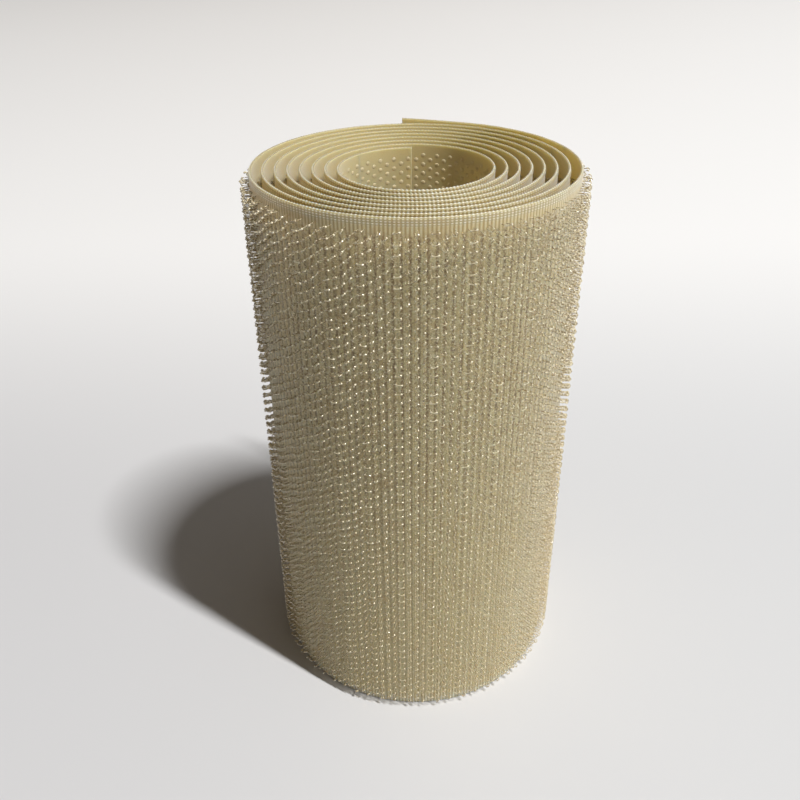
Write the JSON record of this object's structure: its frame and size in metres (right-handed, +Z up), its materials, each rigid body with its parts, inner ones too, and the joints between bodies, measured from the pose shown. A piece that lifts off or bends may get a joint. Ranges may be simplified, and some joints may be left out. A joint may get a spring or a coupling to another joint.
{
  "type": "hook tape roll",
  "caption": "Roll of wide woven nylon hook tape, wound on itself with no core and stood on its edge, with an outer end that peels back and an inner end that lifts into the open bore.",
  "frame": {"origin": "the middle of the roll's box on the plane that it stands on; the bore's middle is 3.5 mm nearer the front", "axes": "+Z up along the roll's axis, across the tape's width; +Y to the back, where both ends of the tape lie; +X to the right as the picture sees it"},
  "size_m": [0.058, 0.0598, 0.1],
  "materials": {
    "woven_nylon": "matte",
    "hook_nylon": "satin"
  },
  "bodies": {
    "roll": {"tape_winding": "woven_nylon", "hooks_left": "hook_nylon", "hooks_front": "hook_nylon", "hooks_right": "hook_nylon"},
    "outer_end": {"tape_outer_end": "woven_nylon", "hooks_outer_end": "hook_nylon"},
    "inner_end": {"tape_inner_end": "woven_nylon"}
  },
  "joints": [
    {"name": "outer_end_peel", "type": "hinge", "parent": "roll", "child": "outer_end", "pos_m": [0.02521, 0.00994, 0.05], "axis": [0, 0, -1], "range_deg": [0, 90], "stiffness_Nm_per_rad": 0.01},
    {"name": "inner_end_lift", "type": "hinge", "parent": "roll", "child": "inner_end", "pos_m": [-0.00805, 0.00549, 0.05], "axis": [0, 0, -1], "range_deg": [0, 40], "stiffness_Nm_per_rad": 0.004}
  ]
}
